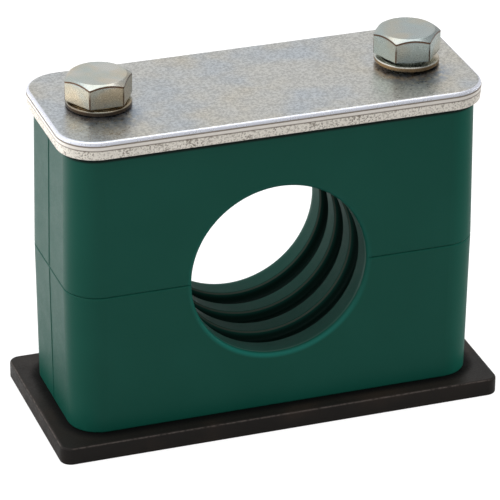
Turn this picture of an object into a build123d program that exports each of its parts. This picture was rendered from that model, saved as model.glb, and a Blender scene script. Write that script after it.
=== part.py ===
from build123d import *
import math
import os

# Tube clamp for hydraulic lines. Two identical moulded halves with a ribbed bore close on the
# tube, a weld plate carries them, and two bolts with spring washers draw the cover plate down.
# Millimetres, +Z up. The tube runs along Y. The origin is the centre of the weld plate's underside.

# Tube bore and its grooves
tube_d = 40.0
groove_count = 3
groove_pitch = 9.5
groove_width = 5.2
groove_depth = 2.2
groove_flank_deg = 12.0
groove_root_r = 0.7
groove_arris_chamfer = 0.3
mouth_r = 1.0

# Clamp halves
jaw_width = 36.0
jaw_crown = 13.0  # plastic between the bore and the plate face
jaw_web = 10.5  # plastic between the bore and a bolt hole
jaw_end_wall = 7.1  # plastic between a bolt hole and the end face
jaw_corner_r = 7.5
jaw_draft_deg = 0.8
jaw_edge_r = 0.4

# Cover plate, a punched blank
cover_thickness = 4.0
cover_overhang = 1.5
cover_rollover_r = 0.9
cover_fracture_height = 2.1
cover_fracture_deg = 4.0

# Weld plate and its threaded bushes
weld_thickness = 4.0
weld_margin_x = 4.5
weld_margin_y = 4.5
weld_corner_r = 2.5
weld_top_edge_r = 0.6
weld_bottom_edge_r = 0.3
bush_d = 14.0
bush_height = 7.0  # above the weld plate
bush_spigot_d = 11.0
bush_chamfer = 0.6

# Hexagon bolts
bolt_d = 8.0
bolt_length_step = 5.0
bolt_tip_chamfer = 0.8
head_flats = 13.0
head_height = 5.8
head_seat_d = 11.8
head_seat_height = 0.5
head_crown_d = 12.1
head_chamfer_deg = 33.0
left_head_turn = -1.0
right_head_turn = -10.0

# Spring washers, split at the back
washer_width = 3.0
washer_thickness = 1.1
washer_split_deg = 10.0
washer_split_turn = 75.0
left_washer_rise = 0.15
right_washer_rise = 1.0

# Clearances, on the radius where a round piece enters a round hole
bolt_hole_clearance = 0.5
thread_clearance = 0.05
washer_clearance = 0.15
spigot_clearance = 0.02
bush_clearance = 0.25
bush_end_clearance = 0.5
hole_edge_chamfer = 0.3

# Worked out from the sizes above
bore_r = tube_d / 2
bolt_hole_r = bolt_d / 2 + bolt_hole_clearance
bolt_x = bore_r + jaw_web + bolt_hole_r
jaw_length = 2 * (bolt_x + bolt_hole_r + jaw_end_wall)
jaw_height = bore_r + jaw_crown
draft_inset = jaw_height * math.tan(math.radians(jaw_draft_deg))
plate_face_length = jaw_length - 2 * draft_inset
plate_face_width = jaw_width - 2 * draft_inset
cover_length = plate_face_length + 2 * cover_overhang
cover_width = plate_face_width + 2 * cover_overhang
cover_corner_r = jaw_corner_r - draft_inset + cover_overhang
weld_length = plate_face_length + 2 * weld_margin_x
weld_width = plate_face_width + 2 * weld_margin_y
split_z = weld_thickness + jaw_height
cover_z = split_z + jaw_height
cover_top_z = cover_z + cover_thickness


def bore_cutter():
    """Turned shape of the tube bore with its ring grooves, about the Y axis."""
    reach = jaw_width / 2 + mouth_r
    flank_run = groove_depth * math.tan(math.radians(groove_flank_deg))
    points = [(0, -reach), (bore_r, -reach)]
    for index in range(groove_count):
        centre = (index - (groove_count - 1) / 2) * groove_pitch
        low, high = centre - groove_width / 2, centre + groove_width / 2
        root = bore_r + groove_depth
        points += [(bore_r, low), (root, low + flank_run), (root, high - flank_run), (bore_r, high)]
    points += [(bore_r, reach), (0, reach)]
    profile = make_face(Polyline(*points, close=True))
    roots = profile.vertices().filter_by(lambda v: v.X > bore_r + groove_depth / 2)
    profile = fillet(roots, groove_root_r)
    arrises = profile.vertices().filter_by(lambda v: abs(v.X - bore_r) < 1e-6 and abs(v.Y) < jaw_width / 2)
    profile = chamfer(arrises, groove_arris_chamfer)
    return revolve(profile, Axis.Y)


def clamp_half():
    """One moulded half, with its split face on z = 0 and its plate face at z = jaw_height."""
    blank = extrude(RectangleRounded(jaw_length, jaw_width, jaw_corner_r), jaw_height, taper=jaw_draft_deg)
    bored = blank - bore_cutter()
    lands = bored.faces().filter_by(GeomType.CYLINDER).filter_by(lambda f: abs(f.radius - bore_r) < 1e-6)
    lands = lands.sort_by(Axis.Y)
    mouths = [land.edges().sort_by(lambda e: abs(e.center().Y))[-1] for land in (lands[0], lands[-1])]
    bored = fillet(mouths, mouth_r)
    # The outer edges are rounded on the blank alone, so that the bore keeps sharp edges at the split.
    ends = blank.faces().sort_by(Axis.Z)
    half = bored & fillet(ends[0].edges() + ends[-1].edges(), jaw_edge_r)
    recess_r = bush_d / 2 + bush_clearance
    recess_depth = bush_height + bush_end_clearance
    for x in (-bolt_x, bolt_x):
        half -= standing_cylinder(x, bolt_hole_r, 0, jaw_height)
        half -= standing_cylinder(x, recess_r, jaw_height - recess_depth, jaw_height)
    return half


def standing_cylinder(x, radius, low, high):
    """Upright cylinder at x, from the height low to the height high."""
    return Pos(x, 0, (low + high) / 2) * Cylinder(radius, high - low)


def drilled(plate, x, radius, low, high):
    """The plate with an upright hole at x whose two edges are broken."""
    plate -= standing_cylinder(x, radius, low, high)
    for z, turn in ((low, 0), (high, 180)):
        rim = Cone(radius + hole_edge_chamfer, radius, hole_edge_chamfer)
        plate -= Pos(x, 0, z) * Rot(turn, 0, 0) * Pos(0, 0, hole_edge_chamfer / 2) * rim
    return plate


def cover_plate():
    """Punched blank: rolled-over top edge, straight sheared band and a fracture band that leans in."""
    outline = RectangleRounded(cover_length, cover_width, cover_corner_r)
    shear_z = cover_z + cover_fracture_height
    sheared = extrude(Pos(0, 0, shear_z) * outline, cover_thickness - cover_fracture_height)
    sheared = fillet(sheared.faces().sort_by(Axis.Z)[-1].edges(), cover_rollover_r)
    band = Pos(0, 0, shear_z) * outline
    fractured = extrude(band, cover_fracture_height, dir=(0, 0, -1), taper=cover_fracture_deg)
    plate = sheared + fractured
    for x in (-bolt_x, bolt_x):
        plate = drilled(plate, x, bolt_hole_r, cover_z, cover_top_z)
    return plate


def weld_plate():
    """Flat bar blank with rounded edges and a hole for each threaded bush."""
    plate = extrude(RectangleRounded(weld_length, weld_width, weld_corner_r), weld_thickness)
    plate = fillet(plate.faces().sort_by(Axis.Z)[-1].edges(), weld_top_edge_r)
    plate = fillet(plate.faces().sort_by(Axis.Z)[0].edges(), weld_bottom_edge_r)
    for x in (-bolt_x, bolt_x):
        plate -= standing_cylinder(x, bush_spigot_d / 2 + spigot_clearance, 0, weld_thickness)
    return plate


def threaded_bush():
    """Round bush whose collar stands on the weld plate, at z = 0, and whose spigot fills its hole."""
    collar = standing_cylinder(0, bush_d / 2, 0, bush_height)
    collar = chamfer(collar.faces().sort_by(Axis.Z)[-1].edges(), bush_chamfer)
    bush = collar + standing_cylinder(0, bush_spigot_d / 2, -weld_thickness, 0)
    return drilled(bush, 0, bolt_d / 2 + thread_clearance, -weld_thickness, bush_height)


def hexagon_bolt(seat_z):
    """Bolt with its bearing face at the height seat_z and its tip inside the weld plate."""
    length = bolt_length_step * math.floor(seat_z / bolt_length_step)
    shank = standing_cylinder(0, bolt_d / 2, -length, 0)
    shank = chamfer(shank.faces().sort_by(Axis.Z)[0].edges(), bolt_tip_chamfer)
    corner_r = head_flats / math.sqrt(3)
    hexagon = extrude(RegularPolygon(corner_r, 6), head_height - head_seat_height)
    drop = (corner_r - head_crown_d / 2) * math.tan(math.radians(head_chamfer_deg))
    waist = head_height - head_seat_height - drop
    crown = Pos(0, 0, waist + drop / 2) * Cone(corner_r, head_crown_d / 2, drop)
    crown += standing_cylinder(0, corner_r, 0, waist)
    head = Pos(0, 0, head_seat_height) * (hexagon & crown)
    head += standing_cylinder(0, head_seat_d / 2, 0, head_seat_height)
    return Pos(0, 0, seat_z) * (head + shank)


def spring_washer(rise):
    """Split ring of flat section that climbs by rise along its one turn, standing on z = 0."""
    mean_r = bolt_d / 2 + washer_clearance + washer_width / 2
    sweep_deg = 360 - washer_split_deg
    path = Helix(pitch=rise * 360 / sweep_deg, height=rise, radius=mean_r)
    start = Plane(origin=path @ 0, x_dir=(1, 0, 0), z_dir=(0, 1, 0))
    ring = sweep(start * Rectangle(washer_width, washer_thickness), path=path, is_frenet=True)
    return Rot(0, 0, washer_split_turn) * Pos(0, 0, washer_thickness / 2) * ring


def build():
    """Every sub-part in its place, by name."""
    half = clamp_half()
    nodes = {
        "weld_plate": weld_plate(),
        "lower_clamp_half": Pos(0, 0, split_z) * Rot(0, 180, 0) * half,
        "upper_clamp_half": Pos(0, 0, split_z) * half,
        "cover_plate": cover_plate(),
    }
    sides = (
        ("left", -bolt_x, left_head_turn, left_washer_rise),
        ("right", bolt_x, right_head_turn, right_washer_rise),
    )
    for side, x, turn, rise in sides:
        seat_z = cover_top_z + washer_thickness + rise
        nodes[side + "_threaded_bush"] = Pos(x, 0, weld_thickness) * threaded_bush()
        nodes[side + "_spring_washer"] = Pos(x, 0, cover_top_z) * spring_washer(rise)
        nodes[side + "_bolt"] = Pos(x, 0, 0) * Rot(0, 0, turn) * hexagon_bolt(seat_z)
    return nodes


os.makedirs("parts", exist_ok=True)
for name, solid in build().items():
    solid.label = name
    export_step(solid, os.path.join("parts", name + ".step"))
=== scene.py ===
"""Looks of a hydraulic tube clamp: moulded halves, punched cover plate, black weld plate and fasteners."""

from __future__ import annotations

import functools
import logging
import math
from dataclasses import dataclass
from enum import Enum
from typing import Any, NamedTuple, Union

import bpy
from bpy.types import Material, Mesh, Node, NodeSocket, NodeTree, Object
from mathutils import Euler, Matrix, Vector

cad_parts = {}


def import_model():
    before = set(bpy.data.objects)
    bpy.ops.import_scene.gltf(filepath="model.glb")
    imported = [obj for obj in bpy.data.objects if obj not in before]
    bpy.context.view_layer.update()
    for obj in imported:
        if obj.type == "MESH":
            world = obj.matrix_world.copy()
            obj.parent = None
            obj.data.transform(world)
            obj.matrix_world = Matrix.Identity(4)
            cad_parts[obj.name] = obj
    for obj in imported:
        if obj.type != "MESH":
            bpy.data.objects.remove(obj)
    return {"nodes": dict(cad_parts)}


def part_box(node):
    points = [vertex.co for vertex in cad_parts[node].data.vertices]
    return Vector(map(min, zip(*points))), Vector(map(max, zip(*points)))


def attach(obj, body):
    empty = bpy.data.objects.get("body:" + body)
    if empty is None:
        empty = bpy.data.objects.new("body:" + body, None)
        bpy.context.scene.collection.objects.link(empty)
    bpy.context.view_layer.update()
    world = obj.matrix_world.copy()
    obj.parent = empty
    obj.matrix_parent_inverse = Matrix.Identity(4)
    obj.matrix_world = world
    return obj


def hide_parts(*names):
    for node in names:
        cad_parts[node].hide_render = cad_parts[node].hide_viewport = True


LOG = logging.getLogger("tube_clamp")
MM = 0.001
BODY = "root"
WHITE = (1.0, 1.0, 1.0)
# The grain's lowest and highest usual heights.
GRAIN_SPAN = (0.5, 1.1)

Socket = NodeSocket
Value = Union[float, int, bool, tuple, Socket, Material]
Colour = tuple[float, float, float]
Point = tuple[float, float, float]
# An effect is absent at the first value and full at the second.
Band = tuple[float, float]
# The same, with the results at both values after them.
Fade = tuple[float, float, float, float]


class Side(Enum):
    """The two fastener positions along the clamp."""

    LEFT = "left"
    RIGHT = "right"


class Graph:
    """Thin layer over a node tree that adds, sets and links nodes in one call."""

    def __init__(self, tree: NodeTree) -> None:
        """Wraps a tree.

        Args:
            tree: The shader or geometry node tree to build in.
        """
        self.tree = tree

    def add(self, kind: str, inputs: dict[Any, Value] | None = None, **settings: Any) -> Node:
        """Adds a node, sets its options and feeds its inputs.

        Args:
            kind: The node's Blender type name.
            inputs: Values or sockets by input name or index.
            **settings: Properties of the node itself.

        Returns:
            The new node.
        """
        node = self.tree.nodes.new(kind)
        for name, setting in settings.items():
            setattr(node, name, setting)
        for key, value in (inputs or {}).items():
            self.feed(node.inputs[key], value)
        return node

    def make(self, kind: str, inputs: dict[Any, Value] | None = None, **settings: Any) -> Socket:
        """Adds a node, as add does, and returns its first output."""
        return self.add(kind, inputs, **settings).outputs[0]

    def feed(self, target: Socket, value: Value) -> None:
        """Links a socket to the target, or sets the target's own value.

        Args:
            target: The input socket.
            value: A socket to link from, or a plain value.
        """
        if isinstance(value, Socket):
            self.tree.links.new(value, target)
            return
        if target.type == "RGBA" and len(value) == 3:
            value = (*value, 1.0)
        target.default_value = value

    def math(self, operation: str, *values: Value) -> Socket:
        """Adds a Math node with these inputs in order and returns its result."""
        return self.make("ShaderNodeMath", dict(enumerate(values)), operation=operation)

    def product(self, *values: Value) -> Socket:
        """Returns the product of two or more values."""
        return functools.reduce(functools.partial(self.math, "MULTIPLY"), values)

    def hypot(self, first: Value, second: Value) -> Socket:
        """Returns the length of two sides at a right angle."""
        return self.math("POWER", self.math("MULTIPLY_ADD", first, first, self.product(second, second)), 0.5)

    def beyond(self, value: Value, limit: Value) -> Socket:
        """Returns how far a value lies beyond a limit on either side of zero."""
        return self.math("SUBTRACT", self.math("ABSOLUTE", value), limit)

    def ramp(self, value: Value, low: Value, high: Value,
             to_low: float = 0.0, to_high: float = 1.0) -> Socket:
        """Maps a range smoothly to another, held at both ends.

        Args:
            value: The value to map.
            low: The value that gives to_low.
            high: The value that gives to_high.
            to_low: Result at low.
            to_high: Result at high.

        Returns:
            The mapped value.
        """
        inputs = {0: value, 1: low, 2: high, 3: to_low, 4: to_high}
        return self.make("ShaderNodeMapRange", inputs, interpolation_type="SMOOTHSTEP")

    def blend(self, factor: Value, first: Value, second: Value, how: str = "MIX") -> Socket:
        """Mixes two colours.

        Args:
            factor: 0 for the first colour, 1 for the second.
            first: The first colour.
            second: The second colour.
            how: The Mix node's blend type.

        Returns:
            The mixed colour.
        """
        node = self.add("ShaderNodeMix", data_type="RGBA", blend_type=how)
        for key, value in ((0, factor), (6, first), (7, second)):
            self.feed(node.inputs[key], value)
        return node.outputs[2]

    def grey(self, value: Value) -> Socket:
        """Returns the grey of one value."""
        return self.make("ShaderNodeCombineColor", {0: value, 1: value, 2: value})

    def noise(self, scale: Value, detail: float = 2.0, roughness: float = 0.5) -> Any:
        """Adds a noise over Object coordinates.

        Args:
            scale: Features per metre.
            detail: Octaves.
            roughness: Strength of the finer octaves.

        Returns:
            The noise's outputs: its value from 0 to 1, and its colour.
        """
        place = self.add("ShaderNodeTexCoord").outputs["Object"]
        inputs = {"Vector": place, "Scale": scale, "Detail": detail, "Roughness": roughness}
        return self.add("ShaderNodeTexNoise", inputs).outputs

    def axes(self) -> tuple[Socket, Socket, Socket]:
        """Returns the Object coordinates as three values."""
        place = self.add("ShaderNodeTexCoord").outputs["Object"]
        return tuple(self.add("ShaderNodeSeparateXYZ", {0: place}).outputs)

    def group(self, tree: NodeTree, inputs: dict[str, Value]) -> Socket:
        """Places a node group, feeds it and returns its output."""
        return self.make("ShaderNodeGroup", inputs, node_tree=tree)

    def attribute(self, source: Socket, name: str, index: Value) -> Socket:
        """Reads one point's value of a named attribute.

        Args:
            source: The geometry that holds it.
            name: The attribute's name.
            index: The point's number.

        Returns:
            The value at that point.
        """
        named = self.make("GeometryNodeInputNamedAttribute", {"Name": name}, data_type="FLOAT")
        inputs = {"Geometry": source, "Value": named, "Index": index}
        return self.make("GeometryNodeSampleIndex", inputs, data_type="FLOAT", domain="POINT")

    def moved(self, shape: Socket, point: Socket, place: Socket) -> Socket:
        """Puts each of a shape's points at its own point plus a place.

        Args:
            shape: The geometry.
            point: Where each point goes, from the shape's own origin.
            place: Where that origin goes.

        Returns:
            The geometry in place.
        """
        placed = self.make("ShaderNodeVectorMath", {0: point, 1: place}, operation="ADD")
        return self.make("GeometryNodeSetPosition", {"Geometry": shape, "Position": placed})

    def marked(self, shape: Socket, worn: Value) -> Socket:
        """Stores how worn each of a shape's points is, for its finish to read."""
        marks = {"Geometry": shape, "Name": "worn", "Value": worn}
        return self.make("GeometryNodeStoreNamedAttribute", marks, data_type="FLOAT", domain="POINT")

    def close(self, shape: Socket, material: Socket, result: Socket) -> None:
        """Merges a shape's seams, shades it, realizes it and gives it the material.

        Args:
            shape: The geometry.
            material: The tree's own Material input.
            result: The tree's output.
        """
        seam, crease_deg = 0.001 * MM, 38.0
        merged = self.make("GeometryNodeMergeByDistance", {"Geometry": shape, "Distance": seam})
        smooth = self.make("GeometryNodeSetShadeSmooth", {"Geometry": merged, "Shade Smooth": True})
        angle = self.add("GeometryNodeInputMeshEdgeAngle").outputs["Unsigned Angle"]
        limits = {0: angle, 1: math.radians(crease_deg)}
        soft = self.make("FunctionNodeCompare", limits, operation="LESS_THAN")
        inputs = {"Geometry": smooth, "Shade Smooth": soft}
        creased = self.make("GeometryNodeSetShadeSmooth", inputs, domain="EDGE")
        real = self.make("GeometryNodeRealizeInstances", {"Geometry": creased})
        self.feed(result, self.make("GeometryNodeSetMaterial", {"Geometry": real, "Material": material}))


def new_group(name: str, kind: str, inputs: dict[str, tuple],
              output: tuple[str, str]) -> tuple[Graph, Any, Socket]:
    """Starts a node group with named sockets.

    Args:
        name: The group's name.
        kind: The tree type.
        inputs: Socket type and default, or socket type alone, by input name.
        output: The output's name and socket type.

    Returns:
        The graph, the group's own inputs by name, and the socket that its result goes to.
    """
    tree = bpy.data.node_groups.new(name, kind)
    for label, (socket_type, *default) in inputs.items():
        socket = tree.interface.new_socket(label, in_out="INPUT", socket_type=socket_type)
        if default:
            socket.default_value = default[0]
    tree.interface.new_socket(output[0], in_out="OUTPUT", socket_type=output[1])
    graph = Graph(tree)
    return graph, graph.add("NodeGroupInput").outputs, graph.add("NodeGroupOutput").inputs[0]


def new_shape(name: str, seed: str, sizes: tuple[str, ...], **others: str) -> tuple[Graph, Any, Socket]:
    """Starts a Geometry Nodes tree.

    Args:
        name: The tree's name.
        seed: Name of the geometry that it starts from.
        sizes: Names of its plain sizes.
        **others: Socket type by name of its other inputs.

    Returns:
        The graph, the tree's own inputs by name, and the socket that its result goes to.
    """
    inputs: dict[str, tuple] = {seed: ("NodeSocketGeometry",)}
    inputs.update({label: ("NodeSocketFloat",) for label in sizes})
    inputs.update({label: (f"NodeSocket{kind}",) for label, kind in others.items()})
    inputs["Material"] = ("NodeSocketMaterial",)
    return new_group(name, "GeometryNodeTree", inputs, ("Geometry", "NodeSocketGeometry"))


def grow(name: str, seed: Mesh, tree: NodeTree, values: dict[str, Any]) -> Object:
    """Runs a Geometry Nodes tree on a seed mesh and keeps the outcome as a plain mesh.

    Args:
        name: The new piece's name.
        seed: The mesh that the tree starts from.
        tree: The tree.
        values: The tree's own inputs by name.

    Returns:
        The piece, at the origin and without modifiers.
    """
    piece = bpy.data.objects.new(name, seed)
    bpy.context.collection.objects.link(piece)
    modifier = piece.modifiers.new("build", "NODES")
    modifier.node_group = tree
    for socket in tree.interface.items_tree:
        if socket.in_out == "INPUT" and socket.name in values:
            modifier[socket.identifier] = values[socket.name]
    evaluated = piece.evaluated_get(bpy.context.evaluated_depsgraph_get())
    mesh = bpy.data.meshes.new_from_object(evaluated)
    piece.modifiers.remove(modifier)
    piece.data = mesh
    mesh.name = name
    mesh.materials.clear()
    mesh.materials.append(values["Material"])
    mesh.polygons.foreach_set("material_index", [0] * len(mesh.polygons))
    LOG.info("%s: %d faces", name, len(mesh.polygons))
    return piece


class Bore(NamedTuple):
    """Where the tube bore lies: its radius, its axis height and half the clamp's width, in metres."""

    radius: float
    height: float
    half_width: float


class CutEdge(NamedTuple):
    """Heights on the cover plate, in metres: underside, end of the torn and the sheared band, and top."""

    low: float
    torn: float
    sheared: float
    top: float


class Patches(NamedTuple):
    """Soft patches of tint: how many in a metre, and how strong."""

    scale: float
    amount: float


class Grain(NamedTuple):
    """A finish's grain: how fine it and its patches are, its depth, and how it moves the roughness."""

    scale: float
    patches: float
    strength: float
    depth: float
    smoother: float = 0.06
    rougher: float = 0.1


class Effects:
    """Shader node groups that several finishes share."""

    def __init__(self) -> None:
        """Builds each group once."""
        self.mottle = self._mottle()
        self.grain = self._grain()
        self.edge_wear = self._edge_wear()

    def tint(self, graph: Graph, patches: Patches, base: Value, warm: Value, cool: Value) -> Socket:
        """Lays soft patches of two tints over a base colour.

        Args:
            graph: The material's graph.
            patches: The patches.
            base: The base colour.
            warm: The first tint.
            cool: The second tint.

        Returns:
            The mottled colour.
        """
        inputs = {"Base": base, "Warm": warm, "Cool": cool, "Scale": patches.scale, "Amount": patches.amount}
        return graph.group(self.mottle, inputs)

    def roughen(self, graph: Graph, shader: Any, grain: Grain, roughness: float,
                dull: Value = 0.0, pits: Value = 0.0) -> None:
        """Feeds a shader's roughness and normal from the grain.

        Args:
            graph: The material's graph.
            shader: Its shader.
            grain: The grain.
            roughness: The finish's own roughness.
            dull: Roughness added in places.
            pits: Depth of pits in places.
        """
        height = graph.group(self.grain, {"Scale": grain.scale, "Patches": grain.patches})
        rough = graph.ramp(height, *GRAIN_SPAN, roughness - grain.smoother, roughness + grain.rougher)
        graph.feed(shader.inputs["Roughness"], graph.math("ADD", rough, dull))
        pitted = graph.math("SUBTRACT", height, pits)
        bump = {"Height": pitted, "Strength": grain.strength, "Distance": grain.depth}
        graph.feed(shader.inputs["Normal"], graph.make("ShaderNodeBump", bump))

    @staticmethod
    def _mottle() -> NodeTree:
        """Soft patches of two tints over a base colour.

        Returns:
            The group.
        """
        inputs = {
            "Base": ("NodeSocketColor",),
            "Warm": ("NodeSocketColor",),
            "Cool": ("NodeSocketColor",),
            "Scale": ("NodeSocketFloat", 60.0),
            "Amount": ("NodeSocketFloat", 0.5),
        }
        graph, take, result = new_group("mottle", "ShaderNodeTree", inputs, ("Color", "NodeSocketColor"))
        patch_edge: Band = (0.42, 0.66)
        patches = graph.noise(take["Scale"], 3.0)["Color"]
        channels = graph.add("ShaderNodeSeparateColor", {0: patches}).outputs
        warm, cool = (graph.product(graph.ramp(channels[i], *patch_edge), take["Amount"]) for i in (0, 1))
        tinted = graph.blend(warm, take["Base"], take["Warm"])
        graph.feed(result, graph.blend(cool, tinted, take["Cool"]))
        return graph.tree

    @staticmethod
    def _grain() -> NodeTree:
        """Fine surface grain as a height.

        Returns:
            The group.
        """
        inputs = {"Scale": ("NodeSocketFloat", 2000.0), "Patches": ("NodeSocketFloat", 150.0)}
        graph, take, result = new_group("grain", "ShaderNodeTree", inputs, ("Height", "NodeSocketFloat"))
        patch_share = 0.6
        fine, broad = graph.noise(take["Scale"], 3.0)[0], graph.noise(take["Patches"])[0]
        graph.feed(result, graph.math("MULTIPLY_ADD", broad, patch_share, fine))
        return graph.tree

    @staticmethod
    def _edge_wear() -> NodeTree:
        """Rubbed rim of a flat plate, from how near a point lies to its outline and top.

        Returns:
            The group.
        """
        labels = {"Half Length": 0.05, "Half Width": 0.02, "Top": 0.004, "Width": 0.0006, "Scale": 400.0}
        inputs = {label: ("NodeSocketFloat", default) for label, default in labels.items()}
        graph, take, result = new_group("edge_wear", "ShaderNodeTree", inputs, ("Mask", "NodeSocketFloat"))
        rub_edge: Band = (0.3, 0.6)
        x, y, z = graph.axes()
        past_x, past_y = graph.beyond(x, take["Half Length"]), graph.beyond(y, take["Half Width"])
        past = graph.math("MAXIMUM", past_x, past_y)
        below = graph.math("SUBTRACT", take["Top"], z)
        rim = graph.ramp(graph.math("MAXIMUM", graph.product(past, -1.0), below), take["Width"], 0.0)
        graph.feed(result, graph.product(rim, graph.ramp(graph.noise(take["Scale"], 4.0)[0], *rub_edge)))
        return graph.tree


def new_material(name: str) -> tuple[Material, Graph, Node]:
    """Starts a node material.

    Args:
        name: The material's name.

    Returns:
        The material, its graph and its Principled BSDF.
    """
    material = bpy.data.materials.new(name)
    material.use_nodes = True
    return material, Graph(material.node_tree), material.node_tree.nodes["Principled BSDF"]


@dataclass(frozen=True)
class MouldedGreen:
    """Dark green polypropylene, matt, with painted shade in the bore, its grooves and under the cover plate,
    and a painted highlight on the bore's mouths.
    """

    colour: Colour = (0.0038, 0.0545, 0.038)
    pale: Colour = (0.0056, 0.064, 0.046)
    # Painted shade: this colour darkens the bore's grooves and the band under the cover plate.
    groove: Colour = (0.0006, 0.0075, 0.0055)
    # Painted shade: the darker colour of the whole inside of the bore.
    bore_shade: Colour = (0.0034, 0.042, 0.031)
    # Painted highlight: the pale line along the chamfered edges of the lands in the bore.
    arris: Colour = (0.08, 0.072, 0.06)
    # Painted highlight on the rounded mouths of the bore.
    mouth_highlight: Colour = (0.009, 0.14, 0.115)
    roughness: float = 0.4
    bore_dulling: float = 0.22
    specular: float = 0.135
    patches: Patches = Patches(45.0, 0.35)
    grain: Grain = Grain(2600.0, 240.0, 0.12, 0.03 * MM, 0.03, 0.05)
    # Depth in from the end face, or out from the lands, at which each effect comes in.
    wall_depth: Band = (1.5 * MM, 1.9 * MM)
    wall_reach: Band = (2.4 * MM, 2.3 * MM)
    groove_shade_reach: Band = (0.1 * MM, 1.3 * MM)
    groove_shade_strength: float = 0.95
    arris_highlight_reach: Band = (0.03 * MM, 0.1 * MM)
    arris_highlight_end: Fade = (0.45 * MM, 0.3 * MM, 0.0, 0.5)
    mouth_highlight_depth: Band = (1.2 * MM, 0.5 * MM)
    mouth_highlight_reach: Band = (1.3 * MM, 0.3 * MM)
    # Height as a share of the bore's radius: the painted highlight grows towards the bottom.
    mouth_highlight_fade: Fade = (-0.2, -1.0, 0.15, 0.55)
    under_plate_shade_depth: Band = (1.6 * MM, 1.0 * MM)

    def build(self, effects: Effects, bore: Bore, top: float) -> Material:
        """Makes the material.

        Args:
            effects: The shared effects.
            bore: Where the tube bore lies.
            top: Height of the upper plate face, under which shade is painted.

        Returns:
            The material.
        """
        material, graph, shader = new_material("moulded_green")
        ramp, blend, product = graph.ramp, graph.blend, graph.product
        x, y, z = graph.axes()
        up = graph.math("SUBTRACT", z, bore.height)
        reach = graph.math("SUBTRACT", graph.hypot(x, up), bore.radius)
        depth = graph.math("SUBTRACT", bore.half_width, graph.math("ABSOLUTE", y))
        inside = product(ramp(depth, *self.wall_depth), ramp(reach, *self.wall_reach))
        # Painted shade down in the grooves, growing out from the lands.
        groove_shade = product(inside, ramp(reach, *self.groove_shade_reach), self.groove_shade_strength)
        # Painted highlight on the lands' chamfered edges.
        arris_glint = product(inside, ramp(reach, *self.arris_highlight_reach), ramp(reach, *self.arris_highlight_end))
        # Painted highlight round the bore's mouths, strongest at the bottom.
        lip_highlight = product(ramp(depth, *self.mouth_highlight_depth), ramp(reach, *self.mouth_highlight_reach))
        lip_highlight = product(lip_highlight, ramp(graph.math("DIVIDE", up, bore.radius), *self.mouth_highlight_fade))
        base = effects.tint(graph, self.patches, self.colour, self.pale, self.colour)
        # Painted shade: a dark band just under the cover plate.
        base = blend(ramp(graph.math("SUBTRACT", top, z), *self.under_plate_shade_depth), base, self.groove)
        # Painted shade over the inside of the bore.
        base = blend(inside, base, self.bore_shade)
        base = blend(groove_shade, base, self.groove)
        base = blend(arris_glint, base, self.arris)
        graph.feed(shader.inputs["Base Color"], blend(lip_highlight, base, self.mouth_highlight))
        shader.inputs["Specular IOR Level"].default_value = self.specular
        effects.roughen(graph, shader, self.grain, self.roughness, product(inside, self.bore_dulling))
        return material


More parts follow.
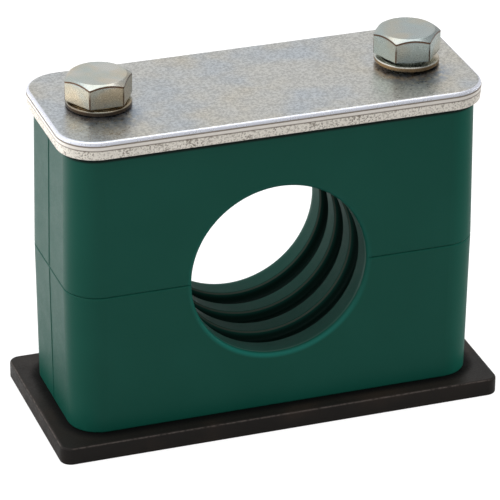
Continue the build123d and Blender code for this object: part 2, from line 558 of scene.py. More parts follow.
@dataclass(frozen=True)
class ZincSheet:
    """Bright zinc on the cover plate, with a smooth sheared band and a torn band on its cut edge."""

    colour: Colour = (0.58, 0.58, 0.555)
    warm: Colour = (0.6, 0.555, 0.46)
    cool: Colour = (0.47, 0.53, 0.6)
    sheared: Colour = (0.86, 0.81, 0.75)
    torn: Colour = (0.88, 0.83, 0.75)
    # Painted highlight: the pale blue line along the plate's rounded top edge.
    rollover_highlight: Colour = (0.76, 0.78, 0.86)
    # Painted reflection of the bolts: a blue patch in front of each.
    bolt_reflection_blue: Colour = (0.2, 0.28, 0.4)
    # The torn band's own dark pits, and the painted shade along the creases between the bands.
    pit: Colour = (0.13, 0.095, 0.065)
    roughness: float = 0.3
    edge_dulling: float = 0.15
    bare_metal_loss: float = 0.3
    patches: Patches = Patches(55.0, 0.65)
    grain: Grain = Grain(2400.0, 500.0, 0.25, 0.04 * MM)
    # Distances from the lines between the bands of the cut edge.
    underside: float = 0.01 * MM
    torn_end: Band = (0.08 * MM, -0.08 * MM)
    sheared_end: Band = (0.25 * MM, 0.0)
    torn_crease_shade: Band = (0.24 * MM, 0.06 * MM)
    torn_crease_shade_strength: float = 0.7
    sheared_crease_shade: Band = (0.22 * MM, 0.05 * MM)
    sheared_crease_shade_strength: float = 0.85
    rollover_highlight_start: Band = (0.1 * MM, 0.25 * MM)
    rollover_highlight_end: Band = (0.02 * MM, 0.1 * MM)
    # The painted reflection of each bolt, a blue patch round it, lies a little towards the front.
    reflection_ahead: float = 6.0 * MM
    reflection_reach: Band = (9.5 * MM, 4.0 * MM)
    reflection_patches: Band = (0.3, 0.6)
    reflection_strength: float = 0.75
    flecks: Fade = (0.36, 0.64, 0.8, 1.12)
    pits: Band = (0.48, 0.6)
    pit_patches: Fade = (0.4, 0.62, 0.4, 0.75)
    pit_depth: float = 2.0

    def build(self, effects: Effects, cut: CutEdge, bolt_x: float) -> Material:
        """Makes the material.

        Args:
            effects: The shared effects.
            cut: The heights of the cut edge's bands.
            bolt_x: How far the bolts stand from the middle.

        Returns:
            The material.
        """
        material, graph, shader = new_material("zinc_sheet")
        ramp, blend, product = graph.ramp, graph.blend, graph.product
        x, y, z = graph.axes()
        above = graph.math("GREATER_THAN", z, cut.low + self.underside)
        past_torn = graph.math("SUBTRACT", z, cut.torn)
        past_sheared = graph.math("SUBTRACT", z, cut.sheared)
        torn = product(above, ramp(past_torn, *self.torn_end))
        edge = product(above, ramp(past_sheared, *self.sheared_end))
        # Painted highlight on the rounded top edge of the plate.
        rollover_highlight = product(ramp(past_sheared, *self.rollover_highlight_start),
                         ramp(graph.math("SUBTRACT", cut.top, z), *self.rollover_highlight_end))
        # Painted reflection: a patchy blue patch round each bolt, shifted towards the front.
        apart = graph.hypot(graph.math("ADD", y, self.reflection_ahead), graph.beyond(x, bolt_x))
        bolt_reflection = product(ramp(apart, *self.reflection_reach), ramp(graph.noise(700.0, 4.0)[0], *self.reflection_patches))
        base = effects.tint(graph, self.patches, self.colour, self.warm, self.cool)
        flecks = graph.grey(ramp(graph.noise(1900.0)[0], *self.flecks))
        pits = ramp(graph.noise(2600.0, 4.0, 0.6)[0], *self.pits)
        patchy = ramp(graph.noise(260.0)[0], *self.pit_patches)
        pitted = blend(product(pits, patchy), self.torn, self.pit)
        colour = blend(product(bolt_reflection, self.reflection_strength), blend(1.0, base, flecks, "MULTIPLY"), self.bolt_reflection_blue)
        colour = blend(rollover_highlight, colour, self.rollover_highlight)
        colour = blend(edge, colour, self.sheared)
        colour = blend(torn, colour, pitted)
        # Painted shade: dark lines along the creases between the torn, sheared and top bands.
        for line, span, strength in ((past_torn, self.torn_crease_shade, self.torn_crease_shade_strength),
                                     (past_sheared, self.sheared_crease_shade, self.sheared_crease_shade_strength)):
            colour = blend(product(ramp(graph.math("ABSOLUTE", line), *span), strength), colour, self.pit)
        graph.feed(shader.inputs["Base Color"], colour)
        bare = graph.math("MAXIMUM", edge, rollover_highlight)
        graph.feed(shader.inputs["Metallic"], graph.math("MULTIPLY_ADD", bare, -self.bare_metal_loss, 1.0))
        effects.roughen(graph, shader, self.grain, self.roughness, product(edge, self.edge_dulling),
                        product(torn, pits, self.pit_depth))
        return material


@dataclass(frozen=True)
class ZincFastener:
    """Passivated zinc on a bolt or a washer, tinted on the flats and brown along the worn edges."""

    name: str
    colour: Colour
    flats: Colour
    warm: Colour = (0.6, 0.49, 0.33)
    cool: Colour = (0.42, 0.52, 0.52)
    brown: Colour = (0.13, 0.058, 0.025)
    brown_strength: float = 0.92
    crown_blur: float = 0.25 * MM
    roughness: float = 0.27
    patches: Patches = Patches(130.0, 0.6)
    grain: Grain = Grain(2800.0, 600.0, 0.2, 0.03 * MM)

    def build(self, effects: Effects, crown_z: float) -> Material:
        """Makes the material.

        Args:
            effects: The shared effects.
            crown_z: Height of the line between the tinted flats and the crown.

        Returns:
            The material.
        """
        material, graph, shader = new_material(self.name)
        low = graph.ramp(graph.axes()[2], crown_z, crown_z - self.crown_blur)
        ground = graph.blend(low, self.colour, self.flats)
        mottled = effects.tint(graph, self.patches, ground, self.warm, self.cool)
        worn = graph.add("ShaderNodeAttribute", attribute_name="worn").outputs["Fac"]
        browned = graph.blend(graph.product(worn, self.brown_strength), mottled, self.brown)
        graph.feed(shader.inputs["Base Color"], browned)
        shader.inputs["Metallic"].default_value = 1.0
        effects.roughen(graph, shader, self.grain, self.roughness)
        return material


@dataclass(frozen=True)
class PlainSteel:
    """Bare machined steel on the threaded bushes."""

    colour: Colour = (0.32, 0.31, 0.29)
    stain: Colour = (0.2, 0.17, 0.13)
    roughness: float = 0.38
    patches: Patches = Patches(160.0, 0.6)
    grain: Grain = Grain(2400.0, 500.0, 0.2, 0.03 * MM)

    def build(self, effects: Effects) -> Material:
        """Makes the material.

        Args:
            effects: The shared effects.

        Returns:
            The material.
        """
        material, graph, shader = new_material("plain_steel")
        stained = effects.tint(graph, self.patches, self.colour, self.stain, self.colour)
        graph.feed(shader.inputs["Base Color"], stained)
        shader.inputs["Metallic"].default_value = 1.0
        effects.roughen(graph, shader, self.grain, self.roughness)
        return material


@dataclass(frozen=True)
class BlackSteel:
    """Black phosphate on the weld plate, worn to brown metal along its top edge, with painted shade round the
    foot of the clamp.
    """

    colour: Colour = (0.0105, 0.009, 0.008)
    brown: Colour = (0.024, 0.0165, 0.0125)
    metal: Colour = (0.12, 0.1, 0.09)
    foot_shade: Colour = (0.0015, 0.0015, 0.0015)
    foot_shade_reach: Band = (2.4 * MM, 0.0)
    foot_shade_dulling: float = 0.35
    foot_corner: float = 7.5 * MM
    rim: float = 0.4 * MM
    rim_scale: float = 1500.0
    rim_metallic: float = 0.5
    roughness: float = 0.42
    specular: float = 0.16
    patches: Patches = Patches(70.0, 0.7)
    grain: Grain = Grain(2200.0, 350.0, 0.35, 0.05 * MM, 0.07)

    def build(self, effects: Effects, high: Vector, foot: Vector) -> Material:
        """Makes the material.

        Args:
            effects: The shared effects.
            high: The plate's highest corner.
            foot: The highest corner of the half that stands on it, round which shade is painted.

        Returns:
            The material.
        """
        material, graph, shader = new_material("black_steel")
        base = effects.tint(graph, self.patches, self.colour, self.brown, self.colour)
        sizes = {"Half Length": high.x, "Half Width": high.y, "Top": high.z}
        worn = graph.group(effects.edge_wear, {**sizes, "Width": self.rim, "Scale": self.rim_scale})
        x, y, _ = graph.axes()
        past_x = graph.math("MAXIMUM", graph.beyond(x, foot.x - self.foot_corner), 0.0)
        past_y = graph.math("MAXIMUM", graph.beyond(y, foot.y - self.foot_corner), 0.0)
        away = graph.math("SUBTRACT", graph.hypot(past_x, past_y), self.foot_corner)
        # Painted shade: the plate goes near-black round the foot of the clamp half.
        near = graph.ramp(away, *self.foot_shade_reach)
        base = graph.blend(near, base, self.foot_shade)
        graph.feed(shader.inputs["Base Color"], graph.blend(worn, base, self.metal))
        graph.feed(shader.inputs["Metallic"], graph.product(worn, self.rim_metallic))
        shader.inputs["Specular IOR Level"].default_value = self.specular
        effects.roughen(graph, shader, self.grain, self.roughness, graph.product(near, self.foot_shade_dulling))
        return material


def dress(node: Object, material: Material) -> None:
    """Puts one material on all of a node's slots.

    Args:
        node: The object.
        material: Its finish.
    """
    if not node.material_slots:
        node.data.materials.append(material)
    for place in node.material_slots:
        place.material = material
    LOG.info("%s: dressed in %s", node.name, material.name)


class Ring(NamedTuple):
    """One ring of a bolt's skin, in metres from the bearing face.

    A round ring has a reach and a height. The other fields, 0 on it, say how far a ring follows the hexagon,
    climbs to the chamfer's cone, is drawn in, lies below the cone, follows the thread and is worn.
    """

    reach: float
    height: float
    hexagon: float = 0.0
    climb: float = 0.0
    inset: float = 0.0
    below: float = 0.0
    thread: float = 0.0
    worn: float = 0.0


@dataclass
class HexagonBolts:
    """Two bolts with forged hexagon heads, grown ring by ring round an upright axis."""

    flats: float = 13.0 * MM
    corner_radius: float = 7.42 * MM
    corner_round: float = 0.12 * MM
    head_height: float = 5.8 * MM
    seat_radius: float = 5.9 * MM
    seat_height: float = 0.5 * MM
    crown_radius: float = 6.05 * MM
    chamfer_deg: float = 33.0
    dish: float = 0.1 * MM
    shank_radius: float = 4.0 * MM
    tip_chamfer: float = 0.8 * MM
    thread_length: float = 22.0 * MM
    thread_pitch: float = 1.25 * MM
    thread_depth: float = 0.6 * MM
    thread_flank: Band = (0.12, 0.88)
    thread_run_out: float = 14.0
    rings_per_turn: int = 8
    columns: int = 144
    # Columns crowd together at the six corners, where the skin turns most.
    crowding: float = 0.7
    rubbed_corner: Band = (0.468, 0.488)
    left_turn_deg: float = -1.0
    right_turn_deg: float = -10.0
    tint_below: float = 0.8 * MM
    left_finish: ZincFastener = ZincFastener("zinc_bolt_warm", (0.59, 0.595, 0.56), (0.66, 0.57, 0.42))
    right_finish: ZincFastener = ZincFastener(
        "zinc_bolt_cool", (0.42, 0.47, 0.465), (0.5, 0.56, 0.53), patches=Patches(130.0, 0.4))

    def build(self, effects: Effects) -> None:
        """Grows both bolts in place of the plain ones.

        Args:
            effects: The shared effects.
        """
        tree = self._tree()
        for side, turn, finish in ((Side.LEFT, self.left_turn_deg, self.left_finish),
                                   (Side.RIGHT, self.right_turn_deg, self.right_finish)):
            node = f"{side.value}_bolt"
            low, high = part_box(node)
            seat_z = high.z - self.head_height
            values = {
                "Columns": self.columns,
                "Flats": self.flats,
                "Corner Radius": self.corner_radius,
                "Crown Radius": self.crown_radius,
                "Chamfer": math.tan(math.radians(self.chamfer_deg)),
                "Top": self.head_height,
                "Thread Pitch": self.thread_pitch,
                "Thread Depth": self.thread_depth,
                "Turn": math.radians(turn),
                "Place": ((low.x + high.x) / 2, 0.0, seat_z),
                "Material": finish.build(effects, high.z - self.tint_below),
            }
            bolt = grow(f"{side.value}_hexagon_bolt", self._skin(seat_z - low.z), tree, values)
            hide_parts(node)
            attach(bolt, BODY)

    def _rings(self, length: float) -> list[Ring]:
        """Lists the rings from the tip up over the head to its middle.

        Args:
            length: The shank's length.

        Returns:
            The rings.
        """
        r, seat, flange, top = self.shank_radius, self.seat_radius, self.seat_height, self.head_height
        crown, dish, tip = self.crown_radius, self.dish, self.tip_chamfer
        fillet, side_foot, arris = 0.2 * MM, 0.3 * MM, 0.08 * MM
        rings = [Ring(0, -length), Ring(r - 1.3 * tip, -length), Ring(r - tip, -length)]
        steps = round(self.thread_length / self.thread_pitch) * self.rings_per_turn
        for step in range(steps + 1):
            along = step / steps
            height = -length + tip + along * (self.thread_length - tip)
            full = min(1.0, self.thread_run_out * along, self.thread_run_out * (1 - along))
            rings.append(Ring(r, height, thread=full))
        rings += [Ring(r, -0.5 * length), Ring(r, -fillet), Ring(r, 0), Ring(r + fillet, 0)]
        rings += [Ring(seat - 0.3 * MM, 0), Ring(seat - arris, 0), Ring(seat, arris), Ring(seat, flange)]
        # The head's lower edge, as inset and lift in millimetres.
        for inset, lift in ((0.4, 0.0), (0.12, 0.0), (0.03, 0.03), (0.0, 0.12), (0.0, 0.3)):
            rings.append(Ring(0, flange + lift * MM, hexagon=1, inset=inset * MM))
        # The head's sides, then its worn upper edge, as climb, millimetres below the cone, and wear.
        sides = ((0.5, 0.0, 0), (1.0, 0.46, 0), (1.0, 0.34, 1), (1.0, 0.08, 1), (1.0, 0.02, 1))
        for climb, below, worn in sides:
            rings.append(Ring(0, flange + side_foot, hexagon=1, climb=climb, below=below * MM, worn=worn))
        rings += [Ring(0, 0, 1, 1, 0.03 * MM, 0.005 * MM), Ring(0, 0, 1, 1, 0.1 * MM)]
        rings += [Ring(crown, 0, part, 1) for part in (0.5, 0.22, 0.08)]
        rings.append(Ring(crown, 0, 0, 1, 0, 0.012 * MM))
        # The crown's flat rim and the shallow dish inside it.
        rings += [Ring(crown - 0.1 * MM, top), Ring(crown - 0.4 * MM, top)]
        rings += [Ring(crown - 0.8 * MM, top - 0.3 * dish), Ring(0.7 * crown, top - 0.8 * dish)]
        return rings + [Ring(0.4 * crown, top - dish), Ring(0, top - dish)]

    def _skin(self, length: float) -> Mesh:
        """Makes the seed mesh: a chain of points, one for each ring, with the ring's shape as attributes.

        Args:
            length: The shank's length.

        Returns:
            The seed mesh.
        """
        rings = self._rings(length)
        mesh = bpy.data.meshes.new("bolt_rings")
        mesh.from_pydata([(0, 0, 0)] * len(rings), [(i, i + 1) for i in range(len(rings) - 1)], [])
        for place, name in enumerate(Ring._fields):
            values = mesh.attributes.new(name, "FLOAT", "POINT")
            values.data.foreach_set("value", [ring[place] for ring in rings])
        return mesh

    def _tree(self) -> NodeTree:
        """Builds the tree that turns a chain of rings into a closed bolt.

        Returns:
            The tree.
        """
        sizes = ("Flats", "Corner Radius", "Crown Radius", "Chamfer", "Top",
                 "Thread Pitch", "Thread Depth", "Turn")
        graph, take, result = new_shape("hexagon_bolt", "Rings", sizes, Columns="Int", Place="Vector")
        do, corners, full_turn = graph.math, 6, 2 * math.pi
        rows = graph.make("GeometryNodeAttributeDomainSize", {0: take["Rings"]}, component="MESH")
        across = do("ADD", take["Columns"], 1.0)
        sheet = graph.make("GeometryNodeMeshGrid", {"Vertices X": across, "Vertices Y": rows})
        index = graph.make("GeometryNodeInputIndex")
        row = do("MODULO", index, rows)
        part = do("DIVIDE", do("FLOOR", do("DIVIDE", do("ADD", index, 0.25), rows)), take["Columns"])
        ring = {name: graph.attribute(take["Rings"], name, row) for name in Ring._fields}
        swing = do("SINE", do("MULTIPLY", part, corners * full_turn))
        crowd = do("MULTIPLY", swing, -self.crowding / corners)
        angle = do("MULTIPLY_ADD", part, full_turn, crowd)
        from_flat = do("SUBTRACT", do("FRACT", do("MULTIPLY", angle, corners / full_turn)), 0.5)
        lean = do("COSINE", do("MULTIPLY", from_flat, full_turn / corners))
        to_side = do("DIVIDE", do("MULTIPLY", take["Flats"], 0.5), lean)
        hexagon = do("SMOOTH_MIN", to_side, take["Corner Radius"], self.corner_round)
        spread = do("MULTIPLY_ADD", do("SUBTRACT", hexagon, ring["reach"]), ring["hexagon"], ring["reach"])
        spread = do("SUBTRACT", spread, ring["inset"])
        past = do("MAXIMUM", do("SUBTRACT", spread, take["Crown Radius"]), 0.0)
        cone = do("SUBTRACT", take["Top"], do("MULTIPLY", past, take["Chamfer"]))
        height = do("MULTIPLY_ADD", do("SUBTRACT", cone, ring["height"]), ring["climb"], ring["height"])
        height = do("SUBTRACT", height, ring["below"])
        phase = do("SUBTRACT", do("DIVIDE", height, take["Thread Pitch"]), do("DIVIDE", angle, full_turn))
        wave = do("ABSOLUTE", do("MULTIPLY_ADD", do("FRACT", phase), 2.0, -1.0))
        groove = graph.make("ShaderNodeMapRange", {0: wave, 1: self.thread_flank[0], 2: self.thread_flank[1]})
        spread = do("SUBTRACT", spread, graph.product(groove, ring["thread"], take["Thread Depth"]))
        heading = do("ADD", angle, take["Turn"])
        flat_x, flat_y = (do("MULTIPLY", spread, do(ratio, heading)) for ratio in ("COSINE", "SINE"))
        point = graph.make("ShaderNodeCombineXYZ", {0: flat_x, 1: flat_y, 2: height})
        shaped = graph.moved(sheet, point, take["Place"])
        corner = graph.ramp(do("ABSOLUTE", from_flat), *self.rubbed_corner)
        side = do("MULTIPLY", ring["hexagon"], do("SUBTRACT", 1.0, do("GREATER_THAN", ring["climb"], 0.6)))
        worn = do("MAXIMUM", ring["worn"], do("MULTIPLY", corner, side))
        graph.close(graph.marked(shaped, worn), take["Material"], result)
        return graph.tree


@dataclass
class SpringWashers:
    """Two split spring washers, each a short coil of rounded flat wire."""

    mean_radius: float = 5.65 * MM
    wire_width: float = 3.0 * MM
    wire_thickness: float = 1.1 * MM
    wire_edge: float = 0.28 * MM
    edge_points: int = 4
    split_deg: float = 10.0
    split_turn_deg: float = 75.0
    resolution: int = 120
    # How far a face looks up where it begins to turn brown and is fully brown: faces that look up keep the
    # base colour.
    brown_facing: Band = (0.35, 0.1)
    # The left washer's colours are darkened as painted shade under its bolt head; the right one keeps plain
    # zinc colours.
    left_finish: ZincFastener = ZincFastener(
        "zinc_washer_shaded", (0.3, 0.26, 0.2), (0.3, 0.26, 0.2), brown=(0.1, 0.06, 0.035))
    right_finish: ZincFastener = ZincFastener(
        "zinc_washer_bright", (0.64, 0.62, 0.56), (0.64, 0.62, 0.56), brown=(0.34, 0.21, 0.09))

    def build(self, effects: Effects) -> None:
        """Coils both washers in place of the plain ones.

        Args:
            effects: The shared effects.
        """
        tree = self._tree()
        for side, finish in ((Side.LEFT, self.left_finish), (Side.RIGHT, self.right_finish)):
            node = f"{side.value}_spring_washer"
            low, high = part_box(node)
            values = {
                "Resolution": self.resolution,
                "Turns": 1 - self.split_deg / 360,
                "Radius": self.mean_radius,
                "Rise": high.z - low.z - self.wire_thickness,
                "Width": self.wire_width,
                "Thickness": self.wire_thickness,
                "Edge": self.wire_edge,
                "Turn": math.radians(self.split_turn_deg),
                "Place": ((low.x + high.x) / 2, 0.0, low.z + self.wire_thickness / 2),
                "Material": finish.build(effects, low.z),
            }
            washer = grow(f"{side.value}_split_washer", bpy.data.meshes.new("washer_seed"), tree, values)
            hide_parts(node)
            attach(washer, BODY)

    def _tree(self) -> NodeTree:
        """Builds the tree that coils the wire.

        Returns:
            The tree.
        """
        sizes = ("Turns", "Radius", "Rise", "Width", "Thickness", "Edge", "Turn")
        graph, take, result = new_shape("spring_washer", "Seed", sizes, Resolution="Int", Place="Vector")
        coil = {
            "Resolution": take["Resolution"],
            "Rotations": take["Turns"],
            "Start Radius": take["Radius"],
            "End Radius": take["Radius"],
            "Height": take["Rise"],
        }
        path = graph.make("GeometryNodeCurveSpiral", coil)
        upright = graph.make("GeometryNodeSetCurveNormal", {"Curve": path}, mode="Z_UP")
        wire = {"Width": take["Width"], "Height": take["Thickness"]}
        section = graph.make("GeometryNodeCurvePrimitiveQuadrilateral", wire)
        rounding = {"Curve": section, "Count": self.edge_points, "Radius": take["Edge"]}
        section = graph.make("GeometryNodeFilletCurve", rounding, mode="POLY")
        sweep = {"Curve": upright, "Profile Curve": section, "Fill Caps": True}
        ring = graph.make("GeometryNodeCurveToMesh", sweep)
        turning = {"Vector": graph.make("GeometryNodeInputPosition"), "Angle": take["Turn"]}
        turned = graph.make("ShaderNodeVectorRotate", turning, rotation_type="Z_AXIS")
        shaped = graph.moved(ring, turned, take["Place"])
        upward = graph.add("ShaderNodeSeparateXYZ", {0: graph.make("GeometryNodeInputNormal")}).outputs[2]
        # Faces turn brown the more they look sideways or down.
        worn = graph.ramp(upward, *self.brown_facing)
        graph.close(graph.marked(shaped, worn), take["Material"], result)
        return graph.tree


@dataclass
class ClampBody:
    """The two moulded halves and the flash line down each end face, where the mould closed."""

    tube_radius: float = 20.0 * MM
    draft_inset: float = 0.46 * MM
    edge_round: float = 0.45 * MM
    ridge_radius: float = 0.13 * MM
    ridge_points: int = 8
    wander: float = 0.05 * MM
    wander_seed: int = 7
    step: float = 0.8 * MM
    finish: MouldedGreen = MouldedGreen()

    def build(self, effects: Effects, nodes: dict[str, Object]) -> None:
        """Dresses the halves and lays the flash lines.

        Args:
            effects: The shared effects.
            nodes: The CAD nodes.
        """
        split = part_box("lower_clamp_half")[1]
        bore = Bore(self.tube_radius, split.z, split.y)
        green = self.finish.build(effects, bore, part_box("upper_clamp_half")[1].z)
        for name in ("lower_clamp_half", "upper_clamp_half"):
            dress(nodes[name], green)
        values = {"Radius": self.ridge_radius, "Wander": self.wander, "Step": self.step}
        values |= {"Seed": self.wander_seed, "Material": green}
        lines = grow("flash_lines", self._paths(), self._tree(), values)
        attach(lines, BODY)

    def _paths(self) -> Mesh:
        """Makes one straight edge down the middle of each end face of each half.

        Returns:
            The seed mesh.
        """
        points = []
        for name in ("lower_clamp_half", "upper_clamp_half"):
            low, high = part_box(name)
            split, plate = (high.z, low.z) if name.startswith("lower") else (low.z, high.z)
            toward = math.copysign(1.0, plate - split)
            for reach in (low.x, high.x):
                inward = -math.copysign(self.draft_inset, reach)
                share = self.edge_round / (high.z - low.z)
                points.append((reach + share * inward, 0.0, split + toward * self.edge_round))
                points.append((reach + (1 - share) * inward, 0.0, plate - toward * self.edge_round))
        mesh = bpy.data.meshes.new("flash_paths")
        mesh.from_pydata(points, [(i, i + 1) for i in range(0, len(points), 2)], [])
        return mesh

    def _tree(self) -> NodeTree:
        """Builds the tree that lays a thin uneven ridge along each edge.

        Returns:
            The tree.
        """
        graph, take, result = new_shape("flash_line", "Paths", ("Radius", "Wander", "Step"), Seed="Int")
        line = graph.make("GeometryNodeMeshToCurve", {0: take["Paths"]})
        line = graph.make("GeometryNodeResampleCurve", {"Curve": line, "Length": take["Step"]}, mode="LENGTH")
        slack = {"Min": -1.0, "Max": 1.0, "Seed": take["Seed"]}
        stray = graph.add("FunctionNodeRandomValue", slack, data_type="FLOAT").outputs[1]
        sideways = graph.make("ShaderNodeCombineXYZ", {1: graph.product(stray, take["Wander"])})
        line = graph.make("GeometryNodeSetPosition", {"Geometry": line, "Offset": sideways})
        line = graph.make("GeometryNodeCurveSplineType", {"Curve": line}, spline_type="POLY")
        rounded = {"Resolution": self.ridge_points, "Radius": take["Radius"]}
        section = graph.make("GeometryNodeCurvePrimitiveCircle", rounded, mode="RADIUS")
        sweep = {"Curve": line, "Profile Curve": section, "Fill Caps": True}
        graph.close(graph.make("GeometryNodeCurveToMesh", sweep), take["Material"], result)
        return graph.tree


@dataclass
class CoverPlate:
    """The punched cover plate and the skin of its cut edge: a smooth proud band over a torn rough one."""

    corner_radius: float = 8.54 * MM
    corner_points: int = 24
    foot: float = 0.12 * MM
    torn_height: float = 2.1 * MM
    torn_taper_deg: float = 4.0
    sheared_height: float = 3.05 * MM
    proud: float = 0.07 * MM
    bite: float = 0.14 * MM
    coarseness: float = 1900.0
    root: float = 0.45 * MM
    rows: int = 13
    step: float = 0.3 * MM
    # The roughness keeps this far inside the torn band.
    rough_from: float = 0.15 * MM
    rough_margin: float = 0.1 * MM
    finish: ZincSheet = ZincSheet()

    def build(self, effects: Effects, nodes: dict[str, Object]) -> None:
        """Dresses the plate and grows the skin of its edge.

        Args:
            effects: The shared effects.
            nodes: The CAD nodes.
        """
        low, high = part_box("cover_plate")
        bolt_low, bolt_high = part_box("right_bolt")
        cut = CutEdge(low.z, low.z + self.torn_height, low.z + self.sheared_height, high.z)
        zinc = self.finish.build(effects, cut, (bolt_low.x + bolt_high.x) / 2)
        dress(nodes["cover_plate"], zinc)
        values = {
            "Length": high.x - low.x,
            "Width": high.y - low.y,
            "Corner Radius": self.corner_radius,
            "Step": self.step,
            "Bite": self.bite,
            "Coarseness": self.coarseness,
            "Torn Height": self.torn_height,
            "Place": (0.0, 0.0, low.z),
            "Material": zinc,
        }
        skin = grow("cut_edge", self._section(), self._tree(), values)
        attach(skin, BODY)

    def _section(self) -> Mesh:
        """Makes the skin's closed section, outward along X and upward against Y from the plate's foot.

        Returns:
            The seed mesh.
        """
        torn, sheared = self.torn_height, self.sheared_height
        points = [(-self.root, self.foot)]
        for row in range(self.rows):
            height = self.foot + (torn - self.foot) * row / (self.rows - 1)
            lean = (height - torn) * math.tan(math.radians(self.torn_taper_deg))
            points.append((lean + (0.5 * self.proud if 0 < row < self.rows - 1 else -0.02 * MM), height))
        points += [(self.proud, torn + 0.06 * MM), (self.proud, sheared - 0.05 * MM)]
        points += [(-0.03 * MM, sheared + 0.02 * MM), (-self.root, sheared + 0.02 * MM)]
        mesh = bpy.data.meshes.new("edge_section")
        joints = [(i, (i + 1) % len(points)) for i in range(len(points))]
        mesh.from_pydata([(out, -up, 0.0) for out, up in reversed(points)], joints, [])
        return mesh

    def _tree(self) -> NodeTree:
        """Builds the tree that sweeps the section round the plate and roughens its torn band.

        Returns:
            The tree.
        """
        sizes = ("Length", "Width", "Corner Radius", "Step", "Bite", "Coarseness", "Torn Height")
        graph, take, result = new_shape("cut_edge", "Section", sizes, Place="Vector")
        plate = {"Width": take["Length"], "Height": take["Width"]}
        outline = graph.make("GeometryNodeCurvePrimitiveQuadrilateral", plate)
        rounding = {"Curve": outline, "Count": self.corner_points, "Radius": take["Corner Radius"]}
        outline = graph.make("GeometryNodeFilletCurve", rounding, mode="POLY")
        spaced = {"Curve": outline, "Length": take["Step"]}
        outline = graph.make("GeometryNodeResampleCurve", spaced, mode="LENGTH")
        upright = graph.make("GeometryNodeSetCurveNormal", {"Curve": outline}, mode="Z_UP")
        section = graph.make("GeometryNodeMeshToCurve", {0: take["Section"]})
        skin = graph.make("GeometryNodeCurveToMesh", {"Curve": upright, "Profile Curve": section})
        here = graph.make("GeometryNodeInputPosition")
        height = graph.add("ShaderNodeSeparateXYZ", {0: here}).outputs[2]
        rough = {"Vector": here, "Scale": take["Coarseness"], "Detail": 3.0}
        grit = graph.math("SUBTRACT", graph.make("ShaderNodeTexNoise", rough), 0.5)
        rough_to = graph.math("SUBTRACT", take["Torn Height"], self.rough_margin)
        below = graph.math("LESS_THAN", height, rough_to)
        torn = graph.product(below, graph.math("GREATER_THAN", height, self.rough_from))
        depth = graph.product(grit, torn, take["Bite"])
        outward = {0: graph.make("GeometryNodeInputNormal"), "Scale": depth}
        nudge = graph.make("ShaderNodeVectorMath", outward, operation="SCALE")
        nudge = graph.make("ShaderNodeVectorMath", {0: nudge, 1: take["Place"]}, operation="ADD")
        shaped = graph.make("GeometryNodeSetPosition", {"Geometry": skin, "Offset": nudge})
        graph.close(shaped, take["Material"], result)
        return graph.tree


@dataclass
class WeldPlate:
    """The black plate that is welded down, with the two threaded bushes sunk in it."""

    finish: BlackSteel = BlackSteel()
    bush_finish: PlainSteel = PlainSteel()

    def build(self, effects: Effects, nodes: dict[str, Object]) -> None:
        """Dresses the plate and its bushes.

        Args:
            effects: The shared effects.
            nodes: The CAD nodes.
        """
        high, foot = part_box("weld_plate")[1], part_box("lower_clamp_half")[1]
        dress(nodes["weld_plate"], self.finish.build(effects, high, foot))
        steel = self.bush_finish.build(effects)
        for side in Side:
            dress(nodes[f"{side.value}_threaded_bush"], steel)


class Lamp(NamedTuple):
    """A soft lamp: name, place and size in metres, power in watts, and whether polished faces mirror it."""

    name: str
    place: Point
    size: tuple[float, float]
    power: float
    mirrored: bool = False


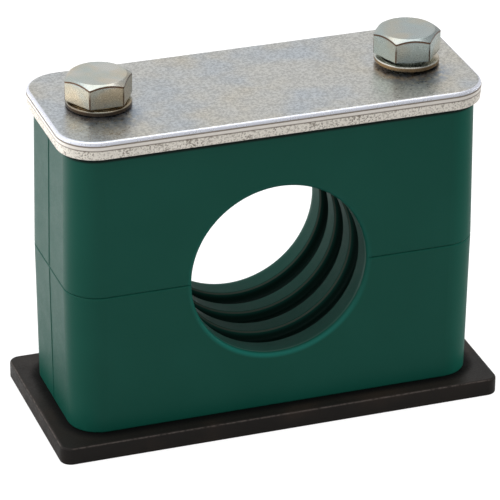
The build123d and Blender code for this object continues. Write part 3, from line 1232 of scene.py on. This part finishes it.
@dataclass
class Studio:
    """White sweep, soft lamps and the camera."""

    eye: Point = (-228.78 * MM, -648.66 * MM, 384.59 * MM)
    yaw: float = 19.37
    pitch: float = -27.04
    roll: float = 0.46
    lens: float = 252.6
    sensor: float = 36.0
    nearest: float = 0.01
    aim: Point = (0.0, 0.0, 0.035)
    lamps: tuple[Lamp, ...] = (
        Lamp("left_softbox", (-0.75, 0.25, 0.38), (0.9, 0.7), 4.8),
        Lamp("top_softbox", (0.0, 0.1, 0.95), (0.9, 0.7), 2.4, mirrored=True),
        Lamp("front_fill", (-0.15, -0.9, 0.5), (0.6, 0.5), 2.6),
        Lamp("right_fill", (0.85, -0.05, 0.28), (0.4, 0.4), 7.5),
    )
    floor_half: float = 3.0
    floor_grey: Colour = (0.3, 0.3, 0.3)
    floor_glow: float = 0.78
    # How bright the floor and the world are across the clamp, for reflections and light.
    floor_back: Fade = (-0.02, 0.08, 0.45, 0.95)
    floor_right: Fade = (0.07, 0.16, 1.0, 0.45)
    floor_left: Fade = (-0.2, -0.1, 1.05, 1.0)
    world_back: Fade = (-0.55, 0.35, 0.5, 0.84)
    world_left: Fade = (-0.3, -0.8, 0.0, 0.4)
    world_right: Fade = (0.25, 0.75, 1.0, 0.6)

    def build(self) -> None:
        """Builds the floor, the world, the lamps and the camera."""
        self._floor()
        self._world()
        for lamp in self.lamps:
            self._hang(lamp)
        self._camera()
        bpy.context.scene.view_settings.view_transform = "Standard"

    def _floor(self) -> None:
        """Lays the pale floor, which the lens sees as white and which keeps the shadow."""
        h = self.floor_half
        mesh = bpy.data.meshes.new("floor")
        mesh.from_pydata([(-h, -h, 0), (h, -h, 0), (h, h, 0), (-h, h, 0)], [], [(0, 1, 2, 3)])
        floor = bpy.data.objects.new("floor", mesh)
        bpy.context.collection.objects.link(floor)
        material = bpy.data.materials.new("floor_paper")
        material.use_nodes = True
        graph = Graph(material.node_tree)
        material.node_tree.nodes.clear()
        x, y, _ = graph.axes()
        shade = graph.product(graph.ramp(y, *self.floor_back), graph.ramp(x, *self.floor_right),
                              graph.ramp(x, *self.floor_left))
        seen = graph.make("ShaderNodeEmission", {"Color": WHITE, "Strength": self.floor_glow})
        paper = graph.make("ShaderNodeBsdfDiffuse", {"Color": self.floor_grey})
        lens_side = graph.make("ShaderNodeAddShader", {0: seen, 1: paper})
        other = graph.make("ShaderNodeBsdfDiffuse", {"Color": graph.grey(shade)})
        rays = graph.add("ShaderNodeLightPath").outputs
        pick = graph.make("ShaderNodeMixShader", {0: rays["Is Camera Ray"], 1: other, 2: lens_side})
        graph.add("ShaderNodeOutputMaterial", {"Surface": pick})
        dress(floor, material)

    def _world(self) -> None:
        """Sets a white world that is dimmer on the lens side for reflections and light."""
        world = bpy.data.worlds.new("studio_world")
        bpy.context.scene.world = world
        world.use_nodes = True
        graph = Graph(world.node_tree)
        world.node_tree.nodes.clear()
        heading = graph.add("ShaderNodeTexCoord").outputs["Generated"]
        x, y, _ = graph.add("ShaderNodeSeparateXYZ", {0: heading}).outputs
        strength = graph.math("ADD", graph.ramp(y, *self.world_back), graph.ramp(x, *self.world_left))
        strength = graph.product(strength, graph.ramp(x, *self.world_right))
        rays = graph.add("ShaderNodeLightPath").outputs
        levels = {0: rays["Is Camera Ray"], 2: strength, 3: 1.0}
        level = graph.make("ShaderNodeMix", levels, data_type="FLOAT")
        back = graph.make("ShaderNodeBackground", {"Color": WHITE, "Strength": level})
        graph.add("ShaderNodeOutputWorld", {"Surface": back})

    def _hang(self, lamp: Lamp) -> None:
        """Hangs one soft lamp that points at the clamp.

        Args:
            lamp: The lamp.
        """
        data = bpy.data.lights.new(lamp.name, "AREA")
        data.shape = "RECTANGLE"
        data.size, data.size_y = lamp.size
        data.energy = lamp.power
        hung = bpy.data.objects.new(lamp.name, data)
        hung.location = lamp.place
        aim = Vector(self.aim) - Vector(lamp.place)
        hung.rotation_euler = aim.to_track_quat("-Z", "Y").to_euler()
        hung.visible_glossy = lamp.mirrored
        bpy.context.collection.objects.link(hung)

    def _camera(self) -> None:
        """Places the long lens."""
        data = bpy.data.cameras.new("camera")
        data.lens, data.sensor_width, data.clip_start = self.lens, self.sensor, self.nearest
        camera = bpy.data.objects.new("camera", data)
        camera.location = self.eye
        turn = Euler((math.radians(90 + self.pitch), 0.0, math.radians(-self.yaw)), "XYZ")
        roll = Euler((0.0, 0.0, math.radians(self.roll)))
        camera.rotation_euler = (turn.to_matrix() @ roll.to_matrix()).to_euler()
        bpy.context.collection.objects.link(camera)
        bpy.context.scene.camera = camera


def main() -> None:
    """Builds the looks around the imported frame."""
    logging.basicConfig(level=logging.INFO, format="%(name)s: %(message)s")
    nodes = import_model()["nodes"]
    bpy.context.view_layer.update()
    effects = Effects()
    WeldPlate().build(effects, nodes)
    ClampBody().build(effects, nodes)
    CoverPlate().build(effects, nodes)
    SpringWashers().build(effects)
    HexagonBolts().build(effects)
    Studio().build()


if __name__ == "__main__":
    main()
